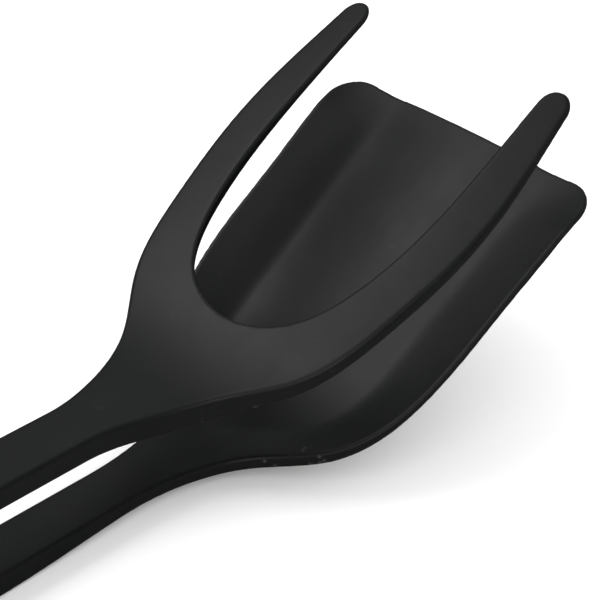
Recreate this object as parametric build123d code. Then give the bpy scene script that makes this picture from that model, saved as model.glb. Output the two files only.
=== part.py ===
from build123d import *
import os
from math import atan, cos, degrees, radians, sin, sqrt, tan

# Kitchen tongs with a scooped turner blade below and a two-pronged fork above.
# Millimetres. +X runs from the tail to the head, +Y to the left, +Z up.
# The origin is the centre of the hanging hole in the tail of the lower arm.

# ---- arms ----
ARM_WIDTH = 14.1
ARM_THICK = 6.2
LOWER_ARM_Z = -6.0        # mid-plane of the lower arm along the grip
ARM_SPREAD = 25.0         # from one arm's mid-plane to the other's, tongs open
COVER_START_X = 34.0      # the moulding begins just in front of the hinge
GRIP_START_X = 84.0       # each arm is straight from here forward to its head
TAIL_FLAT_X = 30.0        # behind this both tail plates lie level

# ---- hinge at the tail ----
PIN_X = 22.0
PIN_Z = LOWER_ARM_Z + ARM_SPREAD / 2
PIN_RADIUS = 2.0
RUNNING_GAP = 0.06        # radial clearance of every part that turns on the pin
EAR_RADIUS = 5.0
EAR_FOOT = 6.5            # half-length of an ear where it meets its tail plate
LOWER_EAR_OUTER_Y = 7.4
UPPER_EAR_OUTER_Y = 5.3
RIVET_HEAD_RADIUS = 3.6
RIVET_HEAD_THICK = 1.2
BUSH_RADIUS = 3.0
BUSH_LENGTH = 7.4
WASHER_RADIUS = 4.4
FACE_GAP = 0.05           # between flat faces that slide or rest on each other
UPPER_TAIL_X = 14.5

# ---- hanging tongue ----
TONGUE_END_X = -9.0
TONGUE_HALF_WIDTH = 7.0
TONGUE_HOLE_RADIUS = 5.2
HANG_HOLE_RADIUS = 4.0
EYELET_FLANGE_RADIUS = 6.6
EYELET_FLANGE_THICK = 0.8

# ---- torsion spring ----
WIRE_RADIUS = 0.6
COIL_RADIUS = 3.9
COIL_PITCH = 1.3
COIL_TURNS = 4.5
SPRING_LEG_X = 32.5

# ---- steel cores ----
CORE_THICK = 1.5
CORE_HALF_WIDTH = 6.0

# ---- turner blade ----
BLADE_TIP_X = 266.8
BLADE_HALF_WIDTH = 42.3
BLADE_PITCH = 29.4        # degrees up from the arm, along the side lips
BLADE_BEND_X = 174.8      # where the arm's line meets the lips' line
FLOOR_BEND_X = 195.0      # the floor turns up later and meets the lips' line in front
BEND_RADIUS = 62.0
BLADE_JOIN_X = 104.0      # the lower arm begins to thin here
BLADE_FLARE_X = 139.3     # and to widen here
BLADE_NECK_THICK = 3.8
RIM_REACH = 18.0          # the side lip starts this far in from the outline
RIM_CORNER = 1.9          # lip height over its line at the front corners
RIM_FRONT = 4.2           # the same a little behind the corners, where it is highest
RIM_HEEL = -2.0           # and at the heel
RIM_ROUND = 0.18          # share of the lip's width over which it bends up from the floor
SCOOP_LENGTH = 75.0       # measured back from the front edge
SCOOP_HEEL_X = 158.0      # the lips fade out over the stretch in front of here
BLADE_CORNER = 9.0

# ---- fork ----
FORK_TIP_X = 251.9        # centres of the rounded prong tips
FORK_TIP_RADIUS = 4.1
FORK_TIP_Y = 32.1
FORK_PITCH = 30.5
FORK_BEND_X = 161.1
FORK_JOIN_X = 130.0       # the upper arm begins to widen here
FORK_CROTCH_THICK = 4.1   # where the prongs part
FORK_TIP_THICK = 2.3
FORK_DROOP = 0.0024       # how fast the prong faces fall away sideways, per mm
FORK_FLAT_Y = 9.0


def ease(t):
    """0 below 0, 1 above 1, with a smooth climb between."""
    t = min(1.0, max(0.0, t))
    return t * t * (3 - 2 * t)


def bent_line(x, bend_x, pitch):
    """Height gained by a line that turns up by pitch degrees, with a rounded bend."""
    angle = radians(pitch)
    start = bend_x - BEND_RADIUS * tan(angle / 2)
    if x <= start:
        return 0.0
    if x >= start + BEND_RADIUS * sin(angle):
        return (x - bend_x) * tan(angle)
    return BEND_RADIUS - sqrt(BEND_RADIUS**2 - (x - start) ** 2)


# ---- turner blade surfaces ----
def blade_half_width(x):
    """Half-width of the blade outline, used to place its raised lip."""
    back = max(BLADE_TIP_X - x, 0.0)
    spread = 35.3 - 0.035 * back
    return ARM_WIDTH / 2 + spread / (1 + (back / 86) ** 12.8)


def blade_thickness(x):
    """The arm thins to the neck, a little more through the floor, then to the front edge."""
    neck = (ARM_THICK - BLADE_NECK_THICK) * ease((x - BLADE_JOIN_X - 1) / 45)
    return ARM_THICK - neck - 0.7 * ease((x - 175) / 40) - 1.5 * ease((x - 238) / 28)


def floor_pitch():
    """Pitch that brings the floor up to the lips' line at the front edge."""
    rise = (BLADE_TIP_X - BLADE_BEND_X) * tan(radians(BLADE_PITCH))
    return degrees(atan(rise / (BLADE_TIP_X - FLOOR_BEND_X)))


def lip_share(x, y):
    """0 on the floor of the scoop, 1 at its side outline."""
    reach = 1 - (blade_half_width(x) - abs(y)) / RIM_REACH
    reach = min(1.25, max(0.0, reach))
    climb = sqrt(reach**2 + RIM_ROUND**2) - RIM_ROUND
    return climb / (sqrt(1 + RIM_ROUND**2) - RIM_ROUND)


def lip_line(x):
    """Height of the side lips over the arm."""
    back = BLADE_TIP_X - x
    lip = RIM_CORNER + (RIM_FRONT - RIM_CORNER) * ease(back / 16)
    lip -= (RIM_FRONT - RIM_HEEL) * ease(back / SCOOP_LENGTH)
    return bent_line(x, BLADE_BEND_X, BLADE_PITCH) + lip * ease((x - SCOOP_HEEL_X) / 34)


def blade_top(x, y):
    floor = bent_line(x, FLOOR_BEND_X, floor_pitch())
    rise = floor + (lip_line(x) - floor) * lip_share(x, y)
    return LOWER_ARM_Z + ARM_THICK / 2 + rise


def blade_bottom(x, y):
    return blade_top(x, y) - blade_thickness(x)


# ---- fork surfaces ----
def fork_thickness(x):
    """As thick as the arm at the neck, then thinning to the crotch and to the tips."""
    neck = (ARM_THICK - FORK_CROTCH_THICK) * ease((x - 150) / 35)
    return ARM_THICK - neck - (FORK_CROTCH_THICK - FORK_TIP_THICK) * ease((x - 200) / 55)


def fork_top(x, y):
    line = bent_line(x, FORK_BEND_X, FORK_PITCH)
    droop = FORK_DROOP * max(0.0, abs(y) - FORK_FLAT_Y) ** 2
    return LOWER_ARM_Z + ARM_SPREAD + ARM_THICK / 2 + line - droop


def fork_bottom(x, y):
    return fork_top(x, y) - fork_thickness(x)


# ---- steel sheet inside each head, in the middle of the moulding ----
def slope_stretch(x, bend_x, pitch):
    """Vertical thickness of a sloping sheet over its true thickness."""
    step = 0.5
    rise = bent_line(x + step, bend_x, pitch) - bent_line(x - step, bend_x, pitch)
    return sqrt(1 + (rise / (2 * step)) ** 2)


def blade_core_top(x, y):
    middle = blade_top(x, y) - blade_thickness(x) / 2
    return middle + CORE_THICK / 2 * slope_stretch(x, FLOOR_BEND_X, floor_pitch())


def blade_core_bottom(x, y):
    middle = blade_top(x, y) - blade_thickness(x) / 2
    return middle - CORE_THICK / 2 * slope_stretch(x, FLOOR_BEND_X, floor_pitch())


def fork_core_top(x, y):
    middle = fork_top(x, y) - fork_thickness(x) / 2
    return middle + CORE_THICK / 2 * slope_stretch(x, FORK_BEND_X, FORK_PITCH)


def fork_core_bottom(x, y):
    middle = fork_top(x, y) - fork_thickness(x) / 2
    return middle - CORE_THICK / 2 * slope_stretch(x, FORK_BEND_X, FORK_PITCH)


def surface(height, x0, x1, half_y, nx, ny):
    """Smooth face through the heights over a rectangle centred on the X axis."""
    rows = []
    for i in range(nx + 1):
        x = x0 + (x1 - x0) * i / nx
        row = []
        for j in range(ny + 1):
            y = half_y * (2 * j / ny - 1)
            row.append(Vector(x, y, height(x, y)))
        rows.append(row)
    return Face.make_surface_from_array_of_points(rows)


def plate(top, bottom, outline, x0, x1, half_y, nx=36, ny=44):
    """Solid between two height formulas, cut to an outline seen from above."""
    reach = 60.0
    x0 = x0 - 4
    below = Solid.extrude(surface(top, x0, x1, half_y, nx, ny), Vector(0, 0, -reach))
    above = Solid.extrude(surface(bottom, x0, x1, half_y, nx, ny), Vector(0, 0, reach))
    prism = extrude(Plane.XY.offset(-60) * outline, 200)
    return prism & below & above


def mirrored(half):
    """Whole outline from its +Y half."""
    return half + mirror(half, Plane.XZ)


# ---- outlines seen from above ----
def blade_outline():
    arm = ARM_WIDTH / 2
    side = BLADE_HALF_WIDTH
    tip = BLADE_TIP_X
    corner = BLADE_CORNER
    front = ThreePointArc((tip, 0), (tip - 0.2, 16), (tip - 0.9, side - corner))
    bend = RadiusArc(front @ 1, (tip - 1.2 - corner, side), -corner)
    flank = Spline(
        bend @ 1,
        (234, 41.2),
        (212, 40.1),
        (187.5, 30.4),
        (172.5, 14.8),
        (163, 10),
        (BLADE_FLARE_X, arm),
        tangents=[(-1, 0), (-1, 0)],
    )
    back = Polyline(flank @ 1, (BLADE_JOIN_X, arm), (BLADE_JOIN_X, 0))
    middle = Line(back @ 1, front @ 0)
    return mirrored(make_face([front, bend, flank, back, middle]))


def blade_core_outline():
    half = CORE_HALF_WIDTH
    flare = Spline(
        (BLADE_FLARE_X, half),
        (177, 12),
        (200, 24),
        tangents=[(1, 0), (1, 0)],
    )
    side = Line(flare @ 1, (226, 24))
    corner = RadiusArc(side @ 1, (234, 16), 8)
    front = Line(corner @ 1, (234, 0))
    middle = Line(front @ 1, (BLADE_JOIN_X, 0))
    back = Polyline(middle @ 1, (BLADE_JOIN_X, half), flare @ 0)
    return mirrored(make_face([flare, side, corner, front, middle, back]))


def fork_outline():
    arm = ARM_WIDTH / 2
    outer = Spline(
        (FORK_JOIN_X, arm),
        (146, 10.3),
        (160.7, 17.1),
        (176.4, 29.9),
        (195.6, 36.3),
        (222, 39.6),
        (FORK_TIP_X, FORK_TIP_Y + FORK_TIP_RADIUS),
        tangents=[(1, 0), (1, -0.16)],
    )
    tip = ThreePointArc(
        outer @ 1,
        (FORK_TIP_X + FORK_TIP_RADIUS, FORK_TIP_Y),
        (FORK_TIP_X, FORK_TIP_Y - FORK_TIP_RADIUS),
    )
    inner = Spline(
        tip @ 1,
        (222, 28.1),
        (200, 25.1),
        (182.3, 15.5),
        (176.9, 0),
        tangents=[(-1, 0), (0, -1)],
    )
    middle = Line(inner @ 1, (FORK_JOIN_X, 0))
    back = Line(middle @ 1, outer @ 0)
    return mirrored(make_face([outer, tip, inner, middle, back]))


def fork_core_outline():
    half = CORE_HALF_WIDTH
    outer = Spline(
        (FORK_JOIN_X, half),
        (160, 11),
        (181, 26.5),
        (204, 33),
        (234, 34.2),
        tangents=[(1, 0), (1, -0.06)],
    )
    end = ThreePointArc(outer @ 1, (236, 32.2), (234, 30.2))
    inner = Spline(
        end @ 1,
        (212, 29.8),
        (188, 23.5),
        (171, 0),
        tangents=[(-1, 0), (0, -1)],
    )
    middle = Line(inner @ 1, (FORK_JOIN_X, 0))
    back = Line(middle @ 1, outer @ 0)
    return mirrored(make_face([outer, end, inner, middle, back]))


# ---- arms ----
def arm_strip(thick, width, x0, x1, grip_x):
    """Lower arm strip of one thickness: level grip, then a curve up to the hinge."""
    grip = LOWER_ARM_Z
    curve_top = Spline(
        (grip_x, grip + thick / 2),
        (TAIL_FLAT_X, thick / 2),
        tangents=[(-1, 0), (-1, 0)],
    )
    curve_low = Spline(
        (TAIL_FLAT_X, -thick / 2),
        (grip_x, grip - thick / 2),
        tangents=[(1, 0), (1, 0)],
    )
    front = Polyline(curve_low @ 1, (x1, grip - thick / 2), (x1, grip + thick / 2), curve_top @ 0)
    rear = Polyline(curve_top @ 1, (x0, thick / 2), (x0, -thick / 2), curve_low @ 0)
    side = make_face([curve_top, curve_low, front, rear])
    return extrude(Plane.XZ * side, width / 2, both=True)


def flipped(shape):
    """The lower arm turned over about the hinge level, to make the upper arm."""
    return mirror(shape, Plane.XY.offset(PIN_Z))


def cover_arm(x1, grip_x):
    """Moulded arm, cut square where it ends in front of the hinge."""
    strip = arm_strip(ARM_THICK, ARM_WIDTH, PIN_X + 4, x1, grip_x)
    behind = Pos(COVER_START_X - 50, 0, 0) * Box(100, 60, 60)
    return strip - behind


def ear(outer_y):
    """Pair of pin ears standing up from a tail plate at the given outer faces."""
    foot = make_face(
        Polyline(
            (PIN_X - EAR_FOOT, -CORE_THICK / 2),
            (PIN_X + EAR_FOOT, -CORE_THICK / 2),
            (PIN_X + EAR_RADIUS, PIN_Z),
            (PIN_X - EAR_RADIUS, PIN_Z),
            (PIN_X - EAR_FOOT, -CORE_THICK / 2),
        )
    )
    profile = foot + Pos(PIN_X, PIN_Z) * Circle(EAR_RADIUS)
    slab = extrude(Plane.XZ * profile, outer_y, both=True)
    gap = Box(60, 2 * (outer_y - CORE_THICK), 60)
    tall = Pos(PIN_X, 0, 30 + CORE_THICK / 2) * gap
    return slab - tall


def lower_core():
    """Steel strip: hanging tongue, hinge channel, arm and the sheet in the blade."""
    strip = arm_strip(CORE_THICK, 60, TONGUE_END_X - 1, BLADE_JOIN_X, GRIP_START_X)
    tongue = TONGUE_HALF_WIDTH
    wide = LOWER_EAR_OUTER_Y
    tail_end = ThreePointArc((-1.5, -tongue), (TONGUE_END_X, 0), (-1.5, tongue))
    flank = Polyline(
        tail_end @ 1,
        (11, tongue),
        (14, wide),
        (30, wide),
        (COVER_START_X, CORE_HALF_WIDTH),
        (BLADE_JOIN_X, CORE_HALF_WIDTH),
    )
    front = Line(flank @ 1, (BLADE_JOIN_X, -CORE_HALF_WIDTH))
    outline = make_face([tail_end, flank, front, mirror(flank, Plane.XZ)])
    arm = strip & extrude(Plane.XY.offset(-30) * outline, 60)
    head = plate(blade_core_top, blade_core_bottom, blade_core_outline(), BLADE_JOIN_X, 246, 32, 26, 26)
    bore = Plane.XZ * Pos(PIN_X, PIN_Z) * Circle(PIN_RADIUS)
    hole = Cylinder(TONGUE_HOLE_RADIUS, 10)
    return arm + head + ear(wide) - extrude(bore, 20, both=True) - hole


def upper_core():
    """Steel strip of the upper arm: hinge ears, arm and the sheet in the fork."""
    strip = arm_strip(CORE_THICK, 60, UPPER_TAIL_X, FORK_JOIN_X, GRIP_START_X)
    wide = UPPER_EAR_OUTER_Y
    flank = Polyline(
        (UPPER_TAIL_X, -wide),
        (UPPER_TAIL_X, wide),
        (31, wide),
        (COVER_START_X, CORE_HALF_WIDTH),
        (FORK_JOIN_X, CORE_HALF_WIDTH),
    )
    front = Line(flank @ 1, (FORK_JOIN_X, -CORE_HALF_WIDTH))
    near = Polyline(
        front @ 1,
        (COVER_START_X, -CORE_HALF_WIDTH),
        (31, -wide),
        flank @ 0,
    )
    outline = make_face([flank, front, near])
    arm = strip & extrude(Plane.XY.offset(-30) * outline, 60)
    bore = Plane.XZ * Pos(PIN_X, PIN_Z) * Circle(PIN_RADIUS + RUNNING_GAP)
    tail = flipped(arm + ear(wide)) - extrude(bore, 20, both=True)
    head = plate(fork_core_top, fork_core_bottom, fork_core_outline(), FORK_JOIN_X, 250, 38, 26, 26)
    return tail + head


def spatula_cover(core):
    head = plate(blade_top, blade_bottom, blade_outline(), BLADE_JOIN_X, 272, 46)
    return head + cover_arm(BLADE_JOIN_X, GRIP_START_X) - core


def fork_cover(core):
    head = plate(fork_top, fork_bottom, fork_outline(), FORK_JOIN_X, 270, 44)
    return head + flipped(cover_arm(FORK_JOIN_X, GRIP_START_X)) - core


# ---- hinge hardware ----
def along_pin(radius, y0, y1):
    """Round bar on the hinge axis between two Y stations."""
    disc = Plane.XZ.offset(-y0) * Pos(PIN_X, PIN_Z) * Circle(radius)
    return extrude(disc, y0 - y1)


def hinge_pin():
    reach = LOWER_EAR_OUTER_Y
    shank = along_pin(PIN_RADIUS, -reach, reach)
    near = along_pin(RIVET_HEAD_RADIUS, -reach - RIVET_HEAD_THICK, -reach)
    far = along_pin(RIVET_HEAD_RADIUS, reach, reach + RIVET_HEAD_THICK)
    rims = [near.faces().sort_by(Axis.Y)[0].edges()[0], far.faces().sort_by(Axis.Y)[-1].edges()[0]]
    near = fillet(rims[0], 0.8)
    far = fillet(rims[1], 0.8)
    return shank + near + far


def ear_washer(side):
    """Thin washer between a lower ear and an upper ear."""
    inner = UPPER_EAR_OUTER_Y + FACE_GAP
    outer = LOWER_EAR_OUTER_Y - CORE_THICK - FACE_GAP
    low, high = sorted((side * inner, side * outer))
    ring = along_pin(WASHER_RADIUS, low, high)
    return ring - along_pin(PIN_RADIUS + RUNNING_GAP, low - 1, high + 1)


def spring_bush():
    half = BUSH_LENGTH / 2
    tube = along_pin(BUSH_RADIUS, -half, half)
    return tube - along_pin(PIN_RADIUS + RUNNING_GAP, -half - 1, half + 1)


def coil_point(turns):
    """Point of the spring wire's centre line after this many turns from below the pin."""
    angle = radians(360 * turns)
    y = COIL_PITCH * (turns - COIL_TURNS / 2)
    return (PIN_X - COIL_RADIUS * sin(angle), y, PIN_Z - COIL_RADIUS * cos(angle))


def torsion_spring():
    """One wire: a coil round the bush, with a straight leg resting on each tail plate."""
    low_z = CORE_THICK / 2 + WIRE_RADIUS + FACE_GAP
    leg_y = COIL_PITCH * COIL_TURNS / 2 + 0.1
    steps = round(8 * COIL_TURNS)
    coil = [coil_point(COIL_TURNS * i / steps) for i in range(steps + 1)]
    low_end = (SPRING_LEG_X, -leg_y, low_z)
    high_end = (SPRING_LEG_X, leg_y, 2 * PIN_Z - low_z)
    low_mid = tuple((Vector(*low_end) + Vector(*coil[0])) / 2)
    high_mid = tuple((Vector(*high_end) + Vector(*coil[-1])) / 2)
    path = Spline(low_end, low_mid, *coil, high_mid, high_end)
    disc = Plane(origin=path @ 0, z_dir=path % 0) * Circle(WIRE_RADIUS)
    return sweep(disc, path=path)


def hang_eyelet():
    """Flanged grommet that lines the hanging hole."""
    step = CORE_THICK / 2 + EYELET_FLANGE_THICK
    barrel = Cylinder(TONGUE_HOLE_RADIUS, 2 * step)
    flange = Pos(0, 0, step - EYELET_FLANGE_THICK / 2) * Cylinder(EYELET_FLANGE_RADIUS, EYELET_FLANGE_THICK)
    whole = barrel + flange + mirror(flange, Plane.XY)
    return whole - Cylinder(HANG_HOLE_RADIUS, 20)


def write(name, shape):
    export_step(shape, f"parts/{name}.step")


os.makedirs("parts", exist_ok=True)
LOWER = lower_core()
UPPER = upper_core()
write("spatula_core", LOWER)
write("fork_core", UPPER)
write("spatula_cover", spatula_cover(LOWER))
write("fork_cover", fork_cover(UPPER))
write("hinge_pin", hinge_pin())
write("ear_washer_left", ear_washer(1))
write("ear_washer_right", ear_washer(-1))
write("spring_bush", spring_bush())
write("torsion_spring", torsion_spring())
write("hang_eyelet", hang_eyelet())
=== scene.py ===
import bpy
import numpy as np
from math import atan, cos, degrees, pi, radians, sin, sqrt, tan
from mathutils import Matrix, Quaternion, Vector, kdtree


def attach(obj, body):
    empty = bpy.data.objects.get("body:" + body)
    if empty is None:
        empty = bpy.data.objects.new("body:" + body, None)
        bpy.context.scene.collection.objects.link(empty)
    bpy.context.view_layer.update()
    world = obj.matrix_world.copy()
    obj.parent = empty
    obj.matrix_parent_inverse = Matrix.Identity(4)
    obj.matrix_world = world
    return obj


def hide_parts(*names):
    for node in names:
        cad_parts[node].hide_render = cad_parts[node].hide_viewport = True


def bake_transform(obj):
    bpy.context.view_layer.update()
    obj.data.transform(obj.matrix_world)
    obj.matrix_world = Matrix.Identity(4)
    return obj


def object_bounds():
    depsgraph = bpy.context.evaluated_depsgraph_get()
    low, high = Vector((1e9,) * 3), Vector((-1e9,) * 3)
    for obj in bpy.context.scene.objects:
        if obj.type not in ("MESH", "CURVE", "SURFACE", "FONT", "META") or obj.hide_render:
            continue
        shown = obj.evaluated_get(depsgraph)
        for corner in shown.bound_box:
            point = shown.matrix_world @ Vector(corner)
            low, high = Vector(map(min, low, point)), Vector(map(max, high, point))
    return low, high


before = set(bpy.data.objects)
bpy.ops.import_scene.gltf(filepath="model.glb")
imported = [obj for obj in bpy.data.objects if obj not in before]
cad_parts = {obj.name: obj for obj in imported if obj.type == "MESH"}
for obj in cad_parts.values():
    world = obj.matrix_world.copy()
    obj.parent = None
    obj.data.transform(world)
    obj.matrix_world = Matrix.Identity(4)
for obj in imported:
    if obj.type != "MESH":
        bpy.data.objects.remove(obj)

CAD_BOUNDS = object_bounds()
SCENE = bpy.context.scene
MM = 0.001

# ---- measures in millimetres, the same as the CAD's ----
ARM_WIDTH = 14.1
ARM_THICK = 6.2
LOWER_ARM_Z = -6.0        # mid-plane of the lower arm along the grip
GRIP_START_X = 84.0
TAIL_FLAT_X = 30.0
COVER_START_X = 34.0      # the mouldings begin here
PIN_X = 22.0
PIN_Z = 6.5
PIN = Vector((PIN_X * MM, 0.0, PIN_Z * MM))
BEND_RADIUS = 62.0

BLADE_TIP_X = 266.8
BLADE_HALF_WIDTH = 42.3
BLADE_CORNER = 9.0
BLADE_BOW = 1.0           # the front edge falls back this far at its corners
BLADE_PITCH = 29.4        # degrees up from the arm, along the side lips
BLADE_BEND_X = 174.8      # where the arm's line meets the lips' line
FLOOR_BEND_X = 195.0      # the floor turns up later and meets the lips' line in front
BLADE_FLARE_X = 139.3     # the lower arm begins to widen here
BLADE_NECK_THICK = 3.8
RIM_REACH = 18.0          # the side lip starts this far in from the outline
RIM_CORNER = 1.9          # lip height over its line at the front corners
RIM_FRONT = 4.2           # the same a little behind the corners, where it is highest
RIM_HEEL = -2.0           # and at the heel
RIM_ROUND = 0.18          # share of the lip's width over which it bends up
SCOOP_LENGTH = 75.0       # measured back from the front edge
SCOOP_HEEL_X = 158.0      # the lips fade out over the stretch in front of here

FORK_TIP_X = 251.9        # centres of the rounded prong tips
FORK_TIP_Y = 32.1
FORK_TIP_RADIUS = 4.1
FORK_PITCH = 30.5
FORK_BEND_X = 161.1
FORK_JOIN_X = 130.0       # the upper arm begins to widen here
FORK_CROTCH_THICK = 4.1
FORK_TIP_THICK = 2.3
FORK_DROOP = 0.0024       # how fast the prong faces fall away sideways, per mm
FORK_FLAT_Y = 9.0
CROTCH_X = 176.9          # where the prongs part

COIL_RADIUS = 3.9
COIL_PITCH = 1.3
COIL_TURNS = 4.5
WIRE_RADIUS = 0.6
SPRING_LEG_X = 32.5
SPRING_LEG_Z = 1.4        # height of the lower leg's centre line
SPRING_LEG_Y = COIL_PITCH * COIL_TURNS / 2 + 0.1

# ---- how finely the mouldings' skins are built ----
VOXEL = 0.36 * MM
PASSES = 5
EDGE_RADIUS = 1.0         # rounding of the mouldings' edges, millimetres
RING_STEPS = 97           # points across each face of a ring
STATION_STEP = 0.6        # millimetres from one ring to the next
TIP_STRETCH = 12.0        # the rings crowd together over this last stretch
TIP_RINGS = 70

# ---- surroundings ----
WORLD_WHITE = 1.25        # seen by the camera and by diffuse light
WORLD_REFLECTED = 0.045   # seen in reflections
FLOOR_REFLECTED = 0.10
HEAD_MIDDLE = (0.19, 0.0, 0.02)


# ---- small helpers for node materials ----
class Mat:
    """A material under construction: nodes are added by type and linked by socket name."""

    def __init__(self, name):
        self.mat = bpy.data.materials.new(name)
        self.mat.use_nodes = True
        self.tree = self.mat.node_tree
        self.tree.nodes.clear()
        self.out = self.add("ShaderNodeOutputMaterial")
        self.bsdf = self.add("ShaderNodeBsdfPrincipled")
        self.link(self.bsdf, "BSDF", self.out, "Surface")
        self.coord = self.add("ShaderNodeTexCoord")

    def add(self, kind, **values):
        node = self.tree.nodes.new(kind)
        for key, value in values.items():
            setattr(node, key, value)
        return node

    def link(self, a, a_name, b, b_name):
        self.tree.links.new(a.outputs[a_name], b.inputs[b_name])

    def noise(self, scale, detail=3.0, rough=0.5, stretch=None):
        """Noise in object space; scale is features per metre."""
        node = self.add("ShaderNodeTexNoise")
        node.inputs["Scale"].default_value = scale
        node.inputs["Detail"].default_value = detail
        node.inputs["Roughness"].default_value = rough
        if stretch is None:
            self.link(self.coord, "Object", node, "Vector")
        else:
            mapping = self.add("ShaderNodeMapping")
            mapping.inputs["Scale"].default_value = stretch
            self.link(self.coord, "Object", mapping, "Vector")
            self.link(mapping, "Vector", node, "Vector")
        return node

    def ramp(self, source, low, high, a, b):
        """Maps the source's Fac from low..high onto colours a..b."""
        node = self.add("ShaderNodeValToRGB")
        node.color_ramp.elements[0].position = low
        node.color_ramp.elements[1].position = high
        node.color_ramp.elements[0].color = (*a, 1)
        node.color_ramp.elements[1].color = (*b, 1)
        self.tree.links.new(source, node.inputs["Fac"])
        return node

    def number(self, source, low, high, a, b):
        """Maps a value from low..high onto a..b."""
        node = self.add("ShaderNodeMapRange")
        node.inputs["From Min"].default_value = low
        node.inputs["From Max"].default_value = high
        node.inputs["To Min"].default_value = a
        node.inputs["To Max"].default_value = b
        self.tree.links.new(source, node.inputs["Value"])
        return node

    def mix(self, factor, a, b):
        node = self.add("ShaderNodeMix", data_type="RGBA")
        self.tree.links.new(factor, node.inputs["Factor"])
        self.tree.links.new(a, node.inputs["A"])
        self.tree.links.new(b, node.inputs["B"])
        return node

    def bump(self, source, height, strength=1.0, before=None):
        node = self.add("ShaderNodeBump")
        node.inputs["Distance"].default_value = height
        node.inputs["Strength"].default_value = strength
        self.tree.links.new(source, node.inputs["Height"])
        if before is not None:
            self.link(before, "Normal", node, "Normal")
        return node

    def shade(self, name, source):
        self.tree.links.new(source, self.bsdf.inputs[name])

    def value(self, name, value):
        self.bsdf.inputs[name].default_value = value


def moulding_material():
    """Satin black silicone: a trace of mottling, a fine spark-eroded grain, handling marks, and edges
    lightened partly by wear and partly by a painted highlight.
    """
    m = Mat("black_silicone")
    mottle = m.noise(38.0, 4.0, 0.6)
    base = m.ramp(mottle.outputs["Fac"], 0.3, 0.7, (0.0034, 0.0040, 0.0048), (0.0054, 0.0060, 0.0053))
    dust = m.noise(520.0, 2.0, 0.5)
    specks = m.number(dust.outputs["Fac"], 0.66, 0.80, 0.0, 0.25)
    pale = m.add("ShaderNodeRGB")
    pale.outputs[0].default_value = (0.030, 0.030, 0.028, 1)
    dusty = m.mix(specks.outputs["Result"], base.outputs["Color"], pale.outputs[0])
    geometry = m.add("ShaderNodeNewGeometry")
    # Edges picked out by pointiness are lightened: partly rubbed wear, partly a painted highlight
    # where light would catch the rounded top edges.
    edge_wear_and_highlight = m.number(geometry.outputs["Pointiness"], 0.52, 0.60, 0.0, 0.60)
    edge_wear_and_highlight_colour = m.add("ShaderNodeRGB")
    edge_wear_and_highlight_colour.outputs[0].default_value = (0.040, 0.041, 0.040, 1)
    worn_and_highlit = m.mix(edge_wear_and_highlight.outputs["Result"], dusty.outputs["Result"], edge_wear_and_highlight_colour.outputs[0])
    m.shade("Base Color", worn_and_highlit.outputs["Result"])
    smears = m.noise(60.0, 3.0, 0.65, (0.35, 1.0, 1.0))
    rough = m.number(smears.outputs["Fac"], 0.3, 0.7, 0.43, 0.51)
    m.shade("Roughness", rough.outputs["Result"])
    m.value("Specular IOR Level", 0.45)
    grain = m.noise(2600.0, 2.0, 0.6)
    ripple = m.noise(90.0, 2.0, 0.5)
    rippled = m.bump(ripple.outputs["Fac"], 0.00012, 0.5)
    grained = m.bump(grain.outputs["Fac"], 0.00002, 0.8, rippled)
    m.link(grained, "Normal", m.bsdf, "Normal")
    return m.mat


def steel_material(name, tint, rough_low, rough_high, stretch):
    """Brushed or drawn stainless steel: streaks along the part, faint stains, dull handling marks."""
    m = Mat(name)
    streak = m.noise(420.0, 4.0, 0.6, stretch)
    dark = tuple(0.86 * c for c in tint)
    base = m.ramp(streak.outputs["Fac"], 0.25, 0.75, dark, tint)
    stain = m.noise(70.0, 3.0, 0.6)
    amount = m.number(stain.outputs["Fac"], 0.55, 0.8, 0.0, 0.35)
    warm = m.add("ShaderNodeRGB")
    warm.outputs[0].default_value = (0.42, 0.38, 0.33, 1)
    both = m.mix(amount.outputs["Result"], base.outputs["Color"], warm.outputs[0])
    m.shade("Base Color", both.outputs["Result"])
    m.value("Metallic", 1.0)
    rough = m.number(streak.outputs["Fac"], 0.2, 0.8, rough_low, rough_high)
    m.shade("Roughness", rough.outputs["Result"])
    scratch = m.bump(streak.outputs["Fac"], 0.00001, 0.6)
    m.link(scratch, "Normal", m.bsdf, "Normal")
    return m.mat


def nylon_material():
    """Black nylon, a little glossier than the silicone."""
    m = Mat("black_nylon")
    mottle = m.noise(300.0, 3.0, 0.5)
    base = m.ramp(mottle.outputs["Fac"], 0.3, 0.7, (0.020, 0.020, 0.021), (0.030, 0.030, 0.032))
    m.shade("Base Color", base.outputs["Color"])
    rough = m.number(mottle.outputs["Fac"], 0.3, 0.7, 0.38, 0.5)
    m.shade("Roughness", rough.outputs["Result"])
    grain = m.bump(m.noise(3000.0).outputs["Fac"], 0.00001, 0.5)
    m.link(grain, "Normal", m.bsdf, "Normal")
    return m.mat


def floor_material():
    """Pale matte studio sweep, dark only to reflections, so that side walls stay black."""
    m = Mat("studio_sweep")
    tone = m.noise(3.0, 2.0, 0.5)
    base = m.ramp(tone.outputs["Fac"], 0.3, 0.7, (0.92, 0.92, 0.92), (0.94, 0.94, 0.94))
    dark = m.add("ShaderNodeRGB")
    dark.outputs[0].default_value = (FLOOR_REFLECTED, FLOOR_REFLECTED, FLOOR_REFLECTED, 1)
    path = m.add("ShaderNodeLightPath")
    seen = m.mix(path.outputs["Is Glossy Ray"], base.outputs["Color"], dark.outputs[0])
    m.shade("Base Color", seen.outputs["Result"])
    m.value("Roughness", 0.9)
    m.value("Specular IOR Level", 0.1)
    fine = m.bump(m.noise(900.0).outputs["Fac"], 0.00002, 0.2)
    m.link(fine, "Normal", m.bsdf, "Normal")
    return m.mat


# ---- mesh helpers ----
def new_object(name, mesh):
    obj = bpy.data.objects.new(name, mesh)
    SCENE.collection.objects.link(obj)
    return obj


def dress(obj, material):
    """One material all over, with smooth shading."""
    obj.data.materials.clear()
    obj.data.materials.append(material)
    for polygon in obj.data.polygons:
        polygon.use_smooth = True


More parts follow.
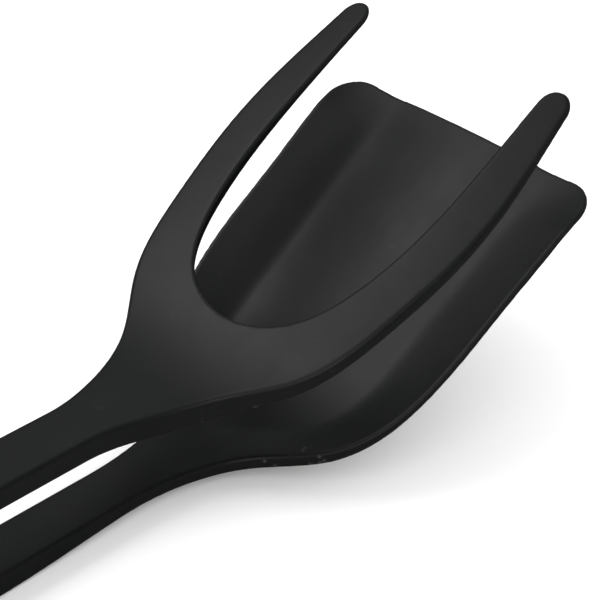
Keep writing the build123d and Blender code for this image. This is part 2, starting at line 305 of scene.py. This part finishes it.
def bake_modifiers(obj):
    """Replaces the object's mesh with the result of its modifiers."""
    graph = bpy.context.evaluated_depsgraph_get()
    mesh = bpy.data.meshes.new_from_object(obj.evaluated_get(graph))
    obj.modifiers.clear()
    obj.data = mesh


# ---- shape of the mouldings: millimetres, +X to the head, the same formulas as the CAD ----
def ease(t):
    """0 below 0, 1 above 1, with a smooth climb between."""
    t = np.clip(t, 0.0, 1.0)
    return t * t * (3 - 2 * t)


def bent_line(x, bend_x, pitch):
    """Height gained by a line that turns up by pitch degrees, with a rounded bend."""
    angle = radians(pitch)
    start = bend_x - BEND_RADIUS * tan(angle / 2)
    end = start + BEND_RADIUS * sin(angle)
    along = np.clip(x - start, 0.0, BEND_RADIUS * sin(angle))
    arc = BEND_RADIUS - np.sqrt(BEND_RADIUS**2 - along**2)
    return np.where(x < end, arc, (x - bend_x) * tan(angle))


def grip_level(x):
    """Mid-plane of the lower arm, from the hinge level down to the straight grip."""
    return LOWER_ARM_Z * (1 - ease((GRIP_START_X - x) / (GRIP_START_X - TAIL_FLAT_X)))


def blade_top(x, y):
    """Upper face of the lower moulding: arm, neck and the scooped blade."""
    back = np.maximum(BLADE_TIP_X - x, 0.0)
    half_width = ARM_WIDTH / 2 + (35.3 - 0.035 * back) / (1 + (back / 86) ** 12.8)
    reach = np.clip(1 - (half_width - abs(y)) / RIM_REACH, 0.0, 1.25)
    climb = (np.sqrt(reach**2 + RIM_ROUND**2) - RIM_ROUND) / (sqrt(1 + RIM_ROUND**2) - RIM_ROUND)
    lip = RIM_CORNER + (RIM_FRONT - RIM_CORNER) * ease(back / 16)
    lip -= (RIM_FRONT - RIM_HEEL) * ease(back / SCOOP_LENGTH)
    side = bent_line(x, BLADE_BEND_X, BLADE_PITCH) + lip * ease((x - SCOOP_HEEL_X) / 34)
    full_rise = (BLADE_TIP_X - BLADE_BEND_X) * tan(radians(BLADE_PITCH))
    floor_pitch = degrees(atan(full_rise / (BLADE_TIP_X - FLOOR_BEND_X)))
    floor = bent_line(x, FLOOR_BEND_X, floor_pitch)
    return grip_level(x) + ARM_THICK / 2 + floor + (side - floor) * climb


def blade_thickness(x):
    """The arm thins to the neck, a little more through the floor, then to the front edge."""
    neck = (ARM_THICK - BLADE_NECK_THICK) * ease((x - 105) / 45)
    return ARM_THICK - neck - 0.7 * ease((x - 175) / 40) - 1.5 * ease((x - 238) / 28)


def fork_top(x, y):
    """Upper face of the upper moulding: arm, neck and the two prongs."""
    droop = FORK_DROOP * np.maximum(0.0, abs(y) - FORK_FLAT_Y) ** 2
    level = 2 * PIN_Z - grip_level(x)
    return level + ARM_THICK / 2 + bent_line(x, FORK_BEND_X, FORK_PITCH) - droop


def fork_thickness(x):
    """As thick as the arm at the neck, then thinning to the crotch and to the tips."""
    neck = (ARM_THICK - FORK_CROTCH_THICK) * ease((x - 150) / 35)
    return ARM_THICK - neck - (FORK_CROTCH_THICK - FORK_TIP_THICK) * ease((x - 200) / 55)


def curve(points, start, end):
    """Smooth curve through the points that leaves along start and arrives along end."""
    p = np.array(points, float)
    chord = np.linalg.norm(np.diff(p, axis=0), axis=1)
    count = len(p)
    system = np.zeros((count, count))
    known = np.zeros((count, 2))
    system[0, 0] = 1
    system[-1, -1] = 1
    known[0] = np.array(start) / np.linalg.norm(start)
    known[-1] = np.array(end) / np.linalg.norm(end)
    for i in range(1, count - 1):
        before, after = chord[i - 1], chord[i]
        system[i, i - 1 : i + 2] = (after, 2 * (before + after), before)
        pull = after * (p[i] - p[i - 1]) / before + before * (p[i + 1] - p[i]) / after
        known[i] = 3 * pull
    slope = np.linalg.solve(system, known)
    pieces = []
    for i in range(count - 1):
        t = np.linspace(0, 1, 80)[:, None]
        from_first = (1 + 2 * t) * (1 - t) ** 2 * p[i] + t * (1 - t) ** 2 * chord[i] * slope[i]
        to_second = t * t * (3 - 2 * t) * p[i + 1] - t * t * (1 - t) * chord[i] * slope[i + 1]
        pieces.append(from_first + to_second)
    return np.concatenate(pieces)


def arc(centre, radius, first, last):
    """Points of a circular arc between two angles in degrees."""
    angle = np.radians(np.linspace(first, last, 60))
    return np.stack([centre[0] + radius * np.cos(angle), centre[1] + radius * np.sin(angle)], axis=1)


def line(first, last):
    t = np.linspace(0, 1, 800)[:, None]
    return (1 - t) * np.array(first, float) + t * np.array(last, float)


def blade_outline():
    """The +Y half of the lower moulding's outline, from its rear end to the front edge."""
    arm = ARM_WIDTH / 2
    corner_x = BLADE_TIP_X - BLADE_BOW - BLADE_CORNER
    corner_y = BLADE_HALF_WIDTH - BLADE_CORNER
    side = line((COVER_START_X, arm), (BLADE_FLARE_X, arm))
    flank = curve(
        [
            (BLADE_FLARE_X, arm),
            (163, 10),
            (172.5, 14.8),
            (187.5, 30.4),
            (212, 40.1),
            (234, 41.2),
            (corner_x - 0.2, BLADE_HALF_WIDTH),
        ],
        (1, 0),
        (1, 0),
    )
    corner = arc((corner_x, corner_y), BLADE_CORNER, 90, 0)
    across = np.linspace(corner_y, 0, 300)
    front = np.stack([BLADE_TIP_X - BLADE_BOW * (across / corner_y) ** 2, across], axis=1)
    return np.concatenate([side, flank, corner, front])


def fork_outer():
    """Outer side of the upper moulding's +Y half, round to the very tip of the prong."""
    arm = ARM_WIDTH / 2
    shoulder = FORK_TIP_Y + FORK_TIP_RADIUS
    side = line((COVER_START_X, arm), (FORK_JOIN_X, arm))
    flank = curve(
        [
            (FORK_JOIN_X, arm),
            (146, 10.3),
            (160.7, 17.1),
            (176.4, 29.9),
            (195.6, 36.3),
            (222, 39.6),
            (FORK_TIP_X, shoulder),
        ],
        (1, 0),
        (1, -0.16),
    )
    tip = arc((FORK_TIP_X, FORK_TIP_Y), FORK_TIP_RADIUS, 90, 0)
    return np.concatenate([side, flank, tip])


def fork_inner():
    """Inner side of the same half, from the crotch to the tip of the prong."""
    shoulder = FORK_TIP_Y - FORK_TIP_RADIUS
    flank = curve(
        [(CROTCH_X, 0), (182.3, 15.5), (200, 25.1), (222, 28.1), (FORK_TIP_X, shoulder)],
        (0, 1),
        (1, 0),
    )
    tip = arc((FORK_TIP_X, FORK_TIP_Y), FORK_TIP_RADIUS, -90, 0)
    return np.concatenate([flank, tip])


def edge_finder(half):
    """Tree of outline points, mirrored and closed at the rear, for distances to the edge."""
    rear = line((COVER_START_X, -ARM_WIDTH / 2), (COVER_START_X, ARM_WIDTH / 2))
    every = np.concatenate([half, half * (1, -1), rear])
    tree = kdtree.KDTree(len(every))
    for i, (x, y) in enumerate(every):
        tree.insert((x, y, 0.0), i)
    tree.balance()
    return tree


def edge_drop(tree, x, y, radius):
    """How far a rounded edge of this radius falls below the face at a point."""
    distance = tree.find((x, y, 0.0))[2]
    inward = max(0.0, radius - distance)
    return radius - sqrt(max(0.0, radius * radius - inward * inward))


def slab(stations, low, high, top, thickness, tree):
    """Closed skin of one stretch: a rounded ring of points at every station, joined up."""
    half_steps = np.linspace(-1, 1, RING_STEPS)
    spread = np.sign(half_steps) * (1 - (1 - abs(half_steps)) ** 1.8)
    verts = []
    for x in stations:
        y0, y1 = low(x), high(x)
        ys = (y0 + y1) / 2 + (y1 - y0) / 2 * spread
        tops = top(x, ys)
        thick = float(thickness(x))
        radius = min(EDGE_RADIUS, 0.48 * thick)
        drops = [edge_drop(tree, x, y, radius) for y in ys]
        upper = [(x, y, z - drop) for y, z, drop in zip(ys, tops, drops)]
        lower = [(x, y, z - thick + drop) for y, z, drop in zip(ys, tops, drops)]
        verts += upper + lower[::-1]
    ring = 2 * RING_STEPS
    faces = []
    for i in range(len(stations) - 1):
        for k in range(ring):
            a = i * ring + k
            b = i * ring + (k + 1) % ring
            faces.append((a, b, b + ring, a + ring))
    faces.append(tuple(range(ring - 1, -1, -1)))
    last = (len(stations) - 1) * ring
    faces.append(tuple(range(last, last + ring)))
    return verts, faces


def between(first, last, step):
    """Stations along X, closer together near the last one, where the outline rounds off."""
    far = np.arange(first, last - TIP_STRETCH, step)
    near = last - TIP_STRETCH * (1 - np.linspace(0, 1, TIP_RINGS)) ** 2
    return np.concatenate([far, near])


def blade_skin():
    """The lower moulding in one stretch, from the hinge end to the front edge."""
    half = blade_outline()
    tree = edge_finder(half)

    def wide(x):
        return float(np.interp(x, half[:, 0], half[:, 1]))

    stations = between(COVER_START_X, BLADE_TIP_X - 0.02, STATION_STEP)
    return [slab(stations, lambda x: -wide(x), wide, blade_top, blade_thickness, tree)]


def fork_skin():
    """The upper moulding in three stretches: the arm with its neck, and each prong."""
    outer = fork_outer()
    inner = fork_inner()
    tree = edge_finder(np.concatenate([outer, inner]))

    def wide(x):
        return float(np.interp(x, outer[:, 0], outer[:, 1]))

    def slot(x):
        return float(np.interp(x, inner[:, 0], inner[:, 1]))

    neck = np.arange(COVER_START_X, CROTCH_X, STATION_STEP)
    crotch = CROTCH_X - 0.4 + 8 * np.linspace(0, 1, 60) ** 2
    prong = between(crotch[-1] + 0.2, outer[-1, 0] - 0.01, STATION_STEP)
    prong = np.concatenate([crotch, prong])
    return [
        slab(neck, lambda x: -wide(x), wide, fork_top, fork_thickness, tree),
        slab(prong, slot, wide, fork_top, fork_thickness, tree),
        slab(prong, lambda x: -wide(x), lambda x: -slot(x), fork_top, fork_thickness, tree),
    ]


def finish_skin(obj, voxel, passes):
    """Melts overlapping stretches into one skin of even faces and softens it."""
    remesh = obj.modifiers.new("remesh", "REMESH")
    remesh.mode = "VOXEL"
    remesh.voxel_size = voxel
    soften = obj.modifiers.new("soften", "SMOOTH")
    soften.factor = 0.5
    soften.iterations = passes
    bake_modifiers(obj)


def moulded(node, body, stretches, material, voxel, passes):
    """One moulding's skin, built from its stretches and carried by a body."""
    verts = []
    faces = []
    for some_verts, some_faces in stretches:
        first = len(verts)
        verts += [(x * MM, y * MM, z * MM) for x, y, z in some_verts]
        faces += [tuple(first + i for i in face) for face in some_faces]
    mesh = bpy.data.meshes.new(node + "_skin")
    mesh.from_pydata(verts, [], faces)
    mesh.update()
    obj = new_object(node + "_skin", mesh)
    finish_skin(obj, voxel, passes)
    dress(obj, material)
    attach(obj, body)
    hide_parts(node)


def grommet(material, voxel, passes):
    """The hanging hole's grommet, softened from the CAD solid's own surface."""
    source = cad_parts["hang_eyelet"]
    obj = new_object("hang_eyelet_skin", source.data.copy())
    obj.matrix_world = source.matrix_world.copy()
    finish_skin(obj, voxel, passes)
    dress(obj, material)
    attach(obj, "spatula_arm")
    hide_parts("hang_eyelet")


def tube(name, points, radius, sides, material):
    """Round wire along a list of points, with rounded ends."""
    verts = []
    faces = []
    count = len(points)
    side_axis = Vector((0.0, 1.0, 0.0))
    for i, point in enumerate(points):
        ahead = points[min(i + 1, count - 1)] - points[max(i - 1, 0)]
        ahead.normalize()
        across = ahead.cross(side_axis).normalized()
        upward = across.cross(ahead).normalized()
        shrink = 0.6 if i in (0, count - 1) else 1.0
        for k in range(sides):
            angle = 2 * pi * k / sides
            verts.append(point + radius * shrink * (cos(angle) * across + sin(angle) * upward))
    for i in range(count - 1):
        for k in range(sides):
            a = i * sides + k
            b = i * sides + (k + 1) % sides
            faces.append((a, b, b + sides, a + sides))
    faces.append(tuple(range(sides - 1, -1, -1)))
    last = (count - 1) * sides
    faces.append(tuple(range(last, last + sides)))
    mesh = bpy.data.meshes.new(name)
    mesh.from_pydata([tuple(v) for v in verts], [], faces)
    mesh.update()
    obj = new_object(name, mesh)
    dress(obj, material)
    return obj


def spring_wire(material):
    """Torsion spring: coil on the bush, one leg on each tail plate."""
    radius = COIL_RADIUS * MM
    pitch = COIL_PITCH * MM
    high_z = 2 * PIN_Z - SPRING_LEG_Z
    low = Vector((SPRING_LEG_X * MM, -SPRING_LEG_Y * MM, SPRING_LEG_Z * MM))
    high = Vector((SPRING_LEG_X * MM, SPRING_LEG_Y * MM, high_z * MM))
    coil = []
    steps = 180
    for i in range(steps + 1):
        done = COIL_TURNS * i / steps
        angle = 2 * pi * done
        along = pitch * (done - COIL_TURNS / 2)
        coil.append(PIN + Vector((-radius * sin(angle), along, -radius * cos(angle))))
    leg_steps = 12
    first = [low.lerp(coil[0], i / leg_steps) for i in range(leg_steps)]
    final = [coil[-1].lerp(high, i / leg_steps) for i in range(1, leg_steps + 1)]
    obj = tube("torsion_spring_wire", first + coil + final, WIRE_RADIUS * MM, 16, material)
    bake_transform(obj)
    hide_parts("torsion_spring")


def dress_cad(node, material, bevel):
    """A CAD piece shown as it is, with a small edge bevel and its material."""
    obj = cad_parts[node]
    obj.data.materials.clear()
    obj.data.materials.append(material)
    cut = obj.modifiers.new("edge", "BEVEL")
    cut.width = bevel
    cut.segments = 2
    cut.limit_method = "ANGLE"
    cut.angle_limit = radians(40)


# ---- light, floor and camera ----
def area_light(name, position, target, size, watts, tint):
    """Round soft light at a position in metres, aimed at the target."""
    data = bpy.data.lights.new(name, "AREA")
    data.shape = "DISK"
    data.size = size
    data.energy = watts
    data.color = tint
    obj = bpy.data.objects.new(name, data)
    SCENE.collection.objects.link(obj)
    obj.location = position
    aim = Vector(target) - Vector(position)
    obj.rotation_euler = aim.to_track_quat("-Z", "Y").to_euler()


def studio_world():
    """White surroundings for the floor and the diffuse light, darker ones for reflections."""
    world = bpy.data.worlds.new("studio_world")
    world.use_nodes = True
    tree = world.node_tree
    tree.nodes.clear()
    out = tree.nodes.new("ShaderNodeOutputWorld")
    path = tree.nodes.new("ShaderNodeLightPath")
    mix = tree.nodes.new("ShaderNodeMixShader")
    for socket, strength in ((1, WORLD_WHITE), (2, WORLD_REFLECTED)):
        sky = tree.nodes.new("ShaderNodeBackground")
        sky.inputs["Color"].default_value = (1.0, 1.0, 1.0, 1.0)
        sky.inputs["Strength"].default_value = strength
        tree.links.new(sky.outputs["Background"], mix.inputs[socket])
    tree.links.new(path.outputs["Is Glossy Ray"], mix.inputs["Fac"])
    tree.links.new(mix.outputs["Shader"], out.inputs["Surface"])
    SCENE.world = world


def studio(material):
    """Floor just under the object, surroundings and three soft lights."""
    side = 3.0
    mesh = bpy.data.meshes.new("studio_floor")
    corners = [(-side, -side, 0), (side, -side, 0), (side, side, 0), (-side, side, 0)]
    mesh.from_pydata(corners, [], [(0, 1, 2, 3)])
    floor = new_object("studio_floor", mesh)
    lowest = CAD_BOUNDS[0][2]
    floor.location = (0.1, 0.0, lowest - 0.0002)
    floor.data.materials.append(material)
    studio_world()
    area_light("key_far_left", (-0.18, 0.47, 0.74), HEAD_MIDDLE, 0.76, 3.5, (1.0, 1.0, 0.99))
    area_light("far_right", (0.72, 0.50, 0.56), HEAD_MIDDLE, 0.45, 0.34, (0.96, 0.98, 1.0))
    area_light("near_camera", (-0.31, -0.54, 0.55), HEAD_MIDDLE, 0.22, 1.0, (1.0, 1.0, 0.97))


def camera(azimuth, elevation, roll, distance, target, lens, shift_x, shift_y):
    """Camera looking at the target from an azimuth (0 looks along +Y) and an elevation."""
    az = radians(azimuth)
    el = radians(elevation)
    away = Vector((sin(az) * cos(el), -cos(az) * cos(el), sin(el)))
    data = bpy.data.cameras.new("photo_camera")
    data.sensor_width = 36.0
    data.lens = lens
    data.shift_x = shift_x
    data.shift_y = shift_y
    data.clip_start = 0.01
    obj = bpy.data.objects.new("photo_camera", data)
    SCENE.collection.objects.link(obj)
    obj.location = Vector(target) + away * distance
    level = (-away).to_track_quat("-Z", "Y")
    obj.rotation_mode = "QUATERNION"
    obj.rotation_quaternion = level @ Quaternion((0, 0, 1), radians(roll))
    SCENE.camera = obj


# ---- build ----
SILICONE = moulding_material()
STEEL = steel_material("brushed_strip", (0.60, 0.60, 0.61), 0.28, 0.42, (0.06, 1.0, 1.0))
RIVET = steel_material("turned_rivet", (0.66, 0.66, 0.67), 0.2, 0.32, (1.0, 0.2, 1.0))
WIRE = steel_material("drawn_wire", (0.50, 0.50, 0.52), 0.25, 0.36, (0.3, 1.0, 0.3))
NYLON = nylon_material()

moulded("spatula_cover", "spatula_arm", blade_skin(), SILICONE, VOXEL, PASSES)
moulded("fork_cover", "fork_arm", fork_skin(), SILICONE, VOXEL, PASSES)
grommet(SILICONE, VOXEL / 2, PASSES)
spring_wire(WIRE)
dress_cad("spatula_core", STEEL, 0.25 * MM)
dress_cad("fork_core", STEEL, 0.25 * MM)
dress_cad("hinge_pin", RIVET, 0.15 * MM)
for small_part in ("ear_washer_left", "ear_washer_right", "spring_bush"):
    dress_cad(small_part, NYLON, 0.08 * MM)

studio(floor_material())
camera(
    azimuth=-47.21,
    elevation=35.95,
    roll=4.05,
    distance=0.3856,
    target=HEAD_MIDDLE,
    lens=94.6,
    shift_x=0.0681,
    shift_y=0.0501,
)
SCENE.view_settings.view_transform = "Standard"
SCENE.view_settings.look = "None"
